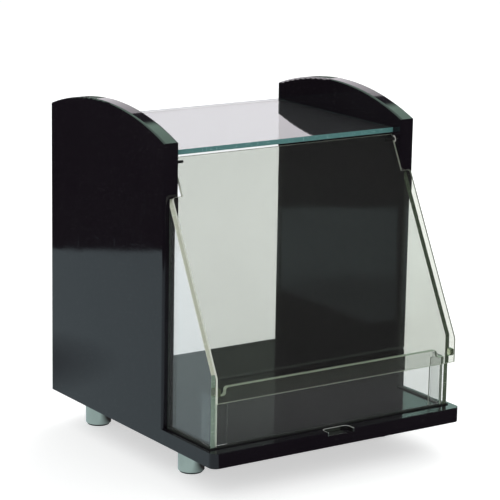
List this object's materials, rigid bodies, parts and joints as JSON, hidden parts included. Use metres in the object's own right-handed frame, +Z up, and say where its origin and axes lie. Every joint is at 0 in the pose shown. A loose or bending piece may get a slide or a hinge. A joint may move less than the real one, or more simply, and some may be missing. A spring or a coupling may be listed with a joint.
{
  "type": "countertop bread display bin",
  "caption": "Countertop bread display bin with arched black side panels, glass top and wings, low front fence and a clear lift-up flap.",
  "frame": {"origin": "on the counter, under the middle of the bin's width and depth", "axes": "+Z up, -Y towards the customer (the flap side), +X to the right seen from the front"},
  "size_m": [0.36, 0.375, 0.4272],
  "materials": {
    "board_black": "high-gloss black board",
    "clear_glass": "clear float glass with ground edges",
    "clear_acrylic": "clear sheet with polished edges",
    "satin_steel": "fine turned satin",
    "black_rubber": "matt",
    "white_nylon": "as moulded",
    "zinc_plate": "zinc plated",
    "beech": "fluted beech"
  },
  "bodies": {
    "cabinet": {"base_board": "board_black", "side_panel_left": "board_black", "side_panel_right": "board_black", "top_glass": "clear_glass", "rear_sheet": "clear_glass", "wing_left": "clear_glass", "wing_right": "clear_glass", "front_fence": "clear_glass", "corner_strip_left": "clear_acrylic", "corner_strip_right": "clear_acrylic", "wing_seal_left": "black_rubber", "wing_seal_right": "black_rubber", "fence_seal": "black_rubber", "bumper_left": "black_rubber", "bumper_right": "black_rubber", "pivot_bush_left": "white_nylon", "pivot_bush_right": "white_nylon", "pull_strip": "satin_steel", "foot_front_left": "satin_steel", "foot_front_right": "satin_steel", "foot_rear_left": "satin_steel", "foot_rear_right": "satin_steel", "foot_pad_front_left": "black_rubber", "foot_pad_front_right": "black_rubber", "foot_pad_rear_left": "black_rubber", "foot_pad_rear_right": "black_rubber", "foot_screws": "zinc_plate", "foot_inserts": "zinc_plate", "cam_bolts_left": "zinc_plate", "cam_bolts_right": "zinc_plate", "cam_locks_left": "zinc_plate", "cam_locks_right": "zinc_plate", "dowels_left": "beech", "dowels_right": "beech"},
    "flap": {"flap": "clear_acrylic"}
  },
  "joints": [
    {"name": "flap_hinge", "type": "hinge", "parent": "cabinet", "child": "flap", "pos_m": [0, -0.0635, 0.372], "axis": [-1, 0, 0], "range_deg": [0, 150]}
  ]
}
